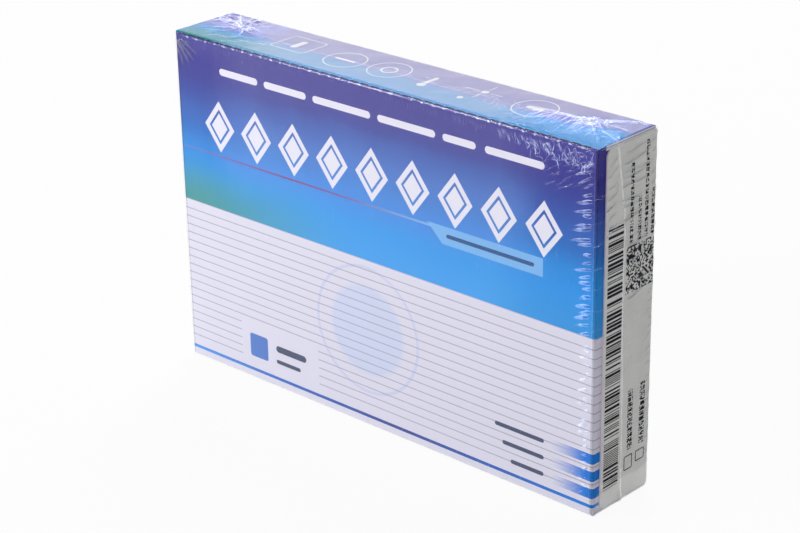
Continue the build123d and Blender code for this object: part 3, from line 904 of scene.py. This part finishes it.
    # teal over the left end, green in a sliver along its front edge
    for along_x, along_y, colour in (
        ((-24.0, -62.0), (-1.0, -9.0), "3e9ab4"), ((-50.0, -64.0), (-10.2, -10.9), "0c8c78"),
    ):
        inside = (node("MapRange", [one, *ends], **smooth) for one, ends in ((x, along_x), (y, along_y)))
        top = layered(node, top, (overlap(node, *inside), colour))
    signs = shapes_mask(node, node("CombineXYZ", [x, y, 0.0]), [
        ((-38.4, 1.4), (6.2, 5.2), 1.2, 0.16),
        ((-38.4, 1.4), (1.0, 3.0), 0.9),
        ((-19.3, -0.3), (6.0, 6.0), 6.0, 0.18),
        ((-19.3, -0.3), (3.6, 0.5), 0.5),
        ((-4.4, 0.9), (6.0, 6.0), 6.0, 0.18),
        ((-4.4, 0.9), (2.2, 2.2), 2.2, 0.28),
        ((9.9, 0.8), (0.7, 3.4), 0.7),
        ((9.9, -2.6), (1.3, 1.3), 1.3),
        ((26.6, 3.2), (1.1, 1.1), 1.1),
        ((26.6, 6.6), (0.16, 1.6), 0.1),
        ((26.6, -0.4), (0.16, 1.6), 0.1),
        ((30.4, 3.2), (1.9, 0.14), 0.1),
        ((22.8, 3.2), (1.9, 0.14), 0.1),
        ((24.3, -3.9), (0.9, 0.9), 0.9),
        ((44.3, 1.6), (6.0, 6.0), 6.0, 0.18),
        ((44.3, 1.6), (2.6, 0.9), 0.8),
    ])
    art = layered(node, front, (is_top, layered(node, top, (signs, "f2f5ff"))))

    # Painted shade: the print on the scored edge before each end is darkened, more so higher up
    elsewhere = node("Math MAXIMUM", [is_end, is_top])
    painted_fold_shade = node("Math SUBTRACT", [node("Math GREATER_THAN", [past_x, -0.2]), elsewhere], use_clamp=True)
    darker = node("MapRange", [z, 48.0, 90.0, -0.22, -0.5])
    art = node("VectorMath SCALE", {0: art, "Scale": node("Math MULTIPLY_ADD", [painted_fold_shade, darker, 1.0])})
    # the top's end folds are deep blue
    bent = overlap(node, node("Math GREATER_THAN", [past_x, 0.15]), is_top, 0.9)
    bent_colour = node("ValToRGB", [node("MapRange", [y, -11.4, 11.4])], stops=[
        (0.0, "1893e0"), (0.3, "2070d0"), (0.55, "2c48b0"), (1.0, "30389a"),
    ])
    # above the outer flap the recessed board is painted pale: a painted highlight of the film's edge over the gap's
    # shade
    pale = overlap(node, node("Math GREATER_THAN", [z, 98.35]), is_end)
    pale = node("Math SUBTRACT", [pale, is_top], use_clamp=True)
    pale = overlap(node, pale, node("Math GREATER_THAN", [y, -8.8]))
    # the long front fold is paler, save at its left end
    pale_front_fold = overlap(node, node("MapRange", [y, -10.7, -11.0, 0.0, 0.55]), is_top, node("MapRange", [x, -61.0, -51.0]))

    # Cut-crease: torn white fibres below the cuts, most of them at the bridges
    stretched = node("VectorMath MULTIPLY", [mm, (2.6, 1.0, 3.4)])
    torn = node("TexNoise", {"Vector": stretched, "Scale": 1.0, "Detail": 2.0, "Roughness": 0.7})
    at_bridge = node("MapRange", [node("Math PINGPONG", [x, 1.825]), 0.6, 0.1, 0.0, 0.2])
    from_cut = node("Math ABSOLUTE", [node("Math SUBTRACT", [z, 98.72])])
    for more in (at_bridge, node("MapRange", [from_cut, 0.05, 0.45, 0.04, -0.3])):
        torn = node("Math ADD", [torn, more])
    at_front = overlap(node, node("Math LESS_THAN", [y, -10.8]), node("Math LESS_THAN", [out_x, 72.0]))
    torn = overlap(node, node("MapRange", [torn, 0.52, 0.72, 0.0, 0.9]), at_front)
    art = layered(node, art, (bent, bent_colour), (pale, "f2f0fa"), (pale_front_fold, "a9cdea"), (torn, "eeedf4"))

    # End flaps: uncoated board, and on the right one bars, a code and small print as plain marks
    fibre = node("TexNoise", {"Vector": place, "Scale": 260.0, "Detail": 4.0, "Roughness": 0.65})
    flap = node("MapRange", [fibre, 0.3, 0.7, 0.96, 1.03])
    flap = node("VectorMath SCALE", {0: settings.flap_grey[:3], "Scale": flap})
    end_plane = node("CombineXYZ", [y, z, 0.0])
    bar_cell = node("Math FLOOR", [node("Math DIVIDE", [z, 0.26])])
    bar_on = node("TexWhiteNoise", {"W": bar_cell}, "Value", noise_dimensions="1D")
    bar_on = node("Math LESS_THAN", [bar_on, 0.64])
    bar_gap = node("Math GREATER_THAN", [node("Math FLOORED_MODULO", [bar_cell, 4.0]), 0.5])
    bar_area = shapes_mask(node, end_plane, [((-4.65, 42.2), (3.05, 36.1), 0.01)])
    line_gap = node("Math GREATER_THAN", [node("Math PINGPONG", [z, 0.725]), 0.14])
    code_area = shapes_mask(node, end_plane, [((5.3, 64.5), (5.6, 6.3), 0.01)])
    words = shapes_mask(node, end_plane, [((middle_y, level), (half, long), 0.2) for middle_y, level, half, long in (
        (1.5, 82.1, 0.65, 10.5), (4.8, 77.3, 0.65, 5.7), (7.5, 84.4, 0.65, 12.9), (10.1, 77.6, 0.6, 6.1),
        (2.95, 22.6, 1.1, 8.6), (7.95, 22.7, 1.1, 8.8),
    )])
    marks = shapes_mask(node, end_plane, [((2.6, 10.4), (1.6, 1.9), 0.3, 0.16), ((7.5, 10.8), (1.7, 1.4), 0.3, 0.16)])
    marks = node("Math MAXIMUM", [marks, overlap(node, bar_on, bar_gap, bar_area)])
    # chance cells: their size, the share of them that is inked, and where they lie
    for size, inked, area in ((0.44, 0.44), 0.5, code_area), ((0.36, 0.30), 0.68, overlap(node, words, line_gap)):
        cell = node("VectorMath FLOOR", [node("VectorMath DIVIDE", [end_plane, (*size, 1.0)])])
        cell = node("TexWhiteNoise", {"Vector": cell}, "Value", noise_dimensions="2D")
        marks = node("Math MAXIMUM", [marks, overlap(node, node("Math LESS_THAN", [cell, inked]), area)])
    marks = overlap(node, marks, node("Math GREATER_THAN", [x, 0.0]))
    cut_edge = node("Math LESS_THAN", [y, -8.62])
    flap = layered(node, flap, (marks, settings.ink), (cut_edge, "f4e8f0"))
    # raw board in the open joints, and painted shade in the knife cuts at the front
    raw_board_and_cut_shade = layered(node, linear("cfcdd2"), (at_front, "23243f"))
    art = layered(node, art, (is_flap, flap), (is_raw, raw_board_and_cut_shade))

    rough = node("MapRange", [fibre, 0.0, 1.0, 0.42, 0.56])
    bump = node("Bump", {"Strength": 0.25, "Distance": 0.00003, "Height": fibre})
    body = node("BsdfPrincipled", {"Base Color": art, "Roughness": rough, "Specular IOR Level": 0.1, "Normal": bump})
    node("OutputMaterial", [body])
    return material


class SEALED_OT_carton(bpy.types.Operator):
    """Print the carton: colour fields, ruled lines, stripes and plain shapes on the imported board"""

    bl_idname = "sealed.carton"
    bl_label = "Printed carton"

    def execute(self, context):
        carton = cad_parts["carton"]
        carton.data.materials.clear()
        carton.data.materials.append(board_material(context.scene.sealed_print))
        return {"FINISHED"}


# Studio


class StageSettings(bpy.types.PropertyGroup):
    ambient: FloatProperty(
        name="Ambient", description="Strength of the even light from all round", default=0.39, min=0
    )
    key: FloatProperty(
        name="Key lamp", description="Power of the tall lamp at the front left", default=6.4, min=0, unit="POWER"
    )
    overhead: FloatProperty(
        name="Overhead lamp", description="Power of the soft lamp above and behind", default=6.2, min=0, unit="POWER"
    )
    glint: FloatProperty(
        name="Side strip", description="Power of the strip at the right that only gloss shows",
        default=1.6, min=0, unit="POWER",
    )


def sheet(name, low, high, level):
    """A flat rectangle that faces up, between two corners in millimetres, at one level."""
    corners = [(low[0], low[1], level), (high[0], low[1], level), (high[0], high[1], level), (low[0], high[1], level)]
    return fill_mesh(name, np.array(corners), np.array([(0, 1, 2, 3)]))


def seen_white(node):
    """1 for rays from the camera, a gloss or a clear body, which see the white backdrop."""
    path = node("LightPath", output=None)
    seen = node("Math MAXIMUM", [path["Is Camera Ray"], path["Is Glossy Ray"]])
    return node("Math MAXIMUM", [seen, path["Is Transmission Ray"]])


class SEALED_OT_stage(bpy.types.Operator):
    """Make the studio: a pale floor, a white backdrop, two soft lamps, a strip and a dark card that only gloss
    shows, and the camera"""

    bl_idname = "sealed.stage"
    bl_label = "Studio"

    def execute(self, context):
        settings = context.scene.sealed_stage
        scene = context.scene
        scene.view_settings.view_transform = "Standard"

        # Floor: a wide pale sheet that keeps a trace of the shadow
        floor = sheet("floor", (-3000, -3000), (3000, 3000), 0)
        material, node = new_material("pale_sweep")
        matt = node("BsdfDiffuse", {"Color": linear("ededed")})
        glow = node("Emission", {"Color": (1, 1, 1, 1), "Strength": 1.0})
        seen = node("Math MULTIPLY", [seen_white(node), 0.93])
        whole = node("MixShader", [seen, matt, glow])
        node("OutputMaterial", [whole])
        floor.data.materials.append(material)

        world = bpy.data.worlds.new("studio")
        scene.world = world
        node = cleared_tree(world)
        even = node("Background", {"Color": linear("ffffff"), "Strength": settings.ambient})
        # the backdrop is white, and gloss also shows the darker room above it
        aim = node("SeparateXYZ", [node("TexCoord", output="Generated")], output=None)
        room = node("MapRange", [aim["Z"], 0.4, 0.8, 1.0, 0.45])
        seen = node("LightPath", output="Is Camera Ray")
        room = node("Math MAXIMUM", [room, seen])
        white = node("Background", {"Color": (1, 1, 1, 1), "Strength": room})
        whole = node("MixShader", [seen_white(node), even, white])
        node("OutputWorld", [whole])

        target = Vector((0, 0, 0.05))
        for name, away, width, height, power in (
            ("key", (-0.60, -0.82, 0.30), 0.28, 0.50, settings.key),
            ("overhead", (-0.40, 0.60, 0.95), 0.50, 0.50, settings.overhead),
            ("glint", (0.95, 0.30, 0.20), 0.10, 0.50, settings.glint),
        ):
            lamp = bpy.data.lights.new(name, "AREA")
            lamp.shape = "RECTANGLE"
            lamp.size, lamp.size_y = width, height
            lamp.energy = power
            place = bpy.data.objects.new(name, lamp)
            place.location = target + Vector(away)
            place.rotation_euler = (-Vector(away)).to_track_quat("-Z", "Y").to_euler()
            place.visible_camera = False
            place.visible_diffuse = name != "glint"
            scene.collection.objects.link(place)

        # Dark card flat on the floor at the right, which only gloss shows
        card = sheet("dark_card", (82, -400), (900, 900), 1)
        material, node = new_material("black_card")
        node("OutputMaterial", [node("BsdfDiffuse", {"Color": linear("202020")})])
        card.data.materials.append(material)
        for kind in ("camera", "diffuse", "transmission", "volume_scatter", "shadow"):
            setattr(card, "visible_" + kind, False)

        # Camera, from a fit to the pack's visible corners
        camera = bpy.data.cameras.new("camera")
        camera.lens = 97.59
        camera.sensor_width = 36.0
        camera.clip_start = 0.01
        eye = bpy.data.objects.new("camera", camera)
        look = Vector((-0.62549, 0.67261, -0.39542)).normalized()
        down = Vector((0.25607, -0.30176, -0.91835))
        down = (down - look * down.dot(look)).normalized()
        across = down.cross(look)
        turn = Matrix((across, -down, -look)).transposed()
        eye.matrix_world = Matrix.Translation((0.36679, -0.39554, 0.27716)) @ turn.to_4x4()
        scene.collection.objects.link(eye)
        scene.camera = eye
        return {"FINISHED"}


class SEALED_PT_panel(bpy.types.Panel):
    """Lists the pieces and their values"""

    bl_idname = "SEALED_PT_panel"
    bl_label = "Sealed carton"
    bl_space_type = "VIEW_3D"
    bl_region_type = "UI"
    bl_category = "Sealed Carton"

    def draw(self, context):
        layout = self.layout
        for group, operator in (("stage", "stage"), ("print", "carton"), ("film", "film")):
            settings = getattr(context.scene, "sealed_" + group)
            box = layout.box()
            for name in settings.__annotations__:
                box.prop(settings, name)
            box.operator("sealed." + operator)
        layout.operator("sealed.folds")
        layout.operator("sealed.weld")


GROUPS = {"sealed_film": FilmSettings, "sealed_print": PrintSettings, "sealed_stage": StageSettings}
CLASSES = (
    *GROUPS.values(), SEALED_OT_stage, SEALED_OT_carton, SEALED_OT_film, SEALED_OT_folds, SEALED_OT_weld,
    SEALED_PT_panel,
)


def register():
    for one in CLASSES:
        bpy.utils.register_class(one)
    for name, group in GROUPS.items():
        setattr(bpy.types.Scene, name, PointerProperty(type=group))


def unregister():
    for name in GROUPS:
        delattr(bpy.types.Scene, name)
    for one in reversed(CLASSES):
        bpy.utils.unregister_class(one)


def main():
    register()
    bpy.ops.sealed.stage()
    bpy.ops.sealed.carton()
    bpy.ops.sealed.film()
    bpy.ops.sealed.folds()
    bpy.ops.sealed.weld()


if __name__ == "__main__":
    main()
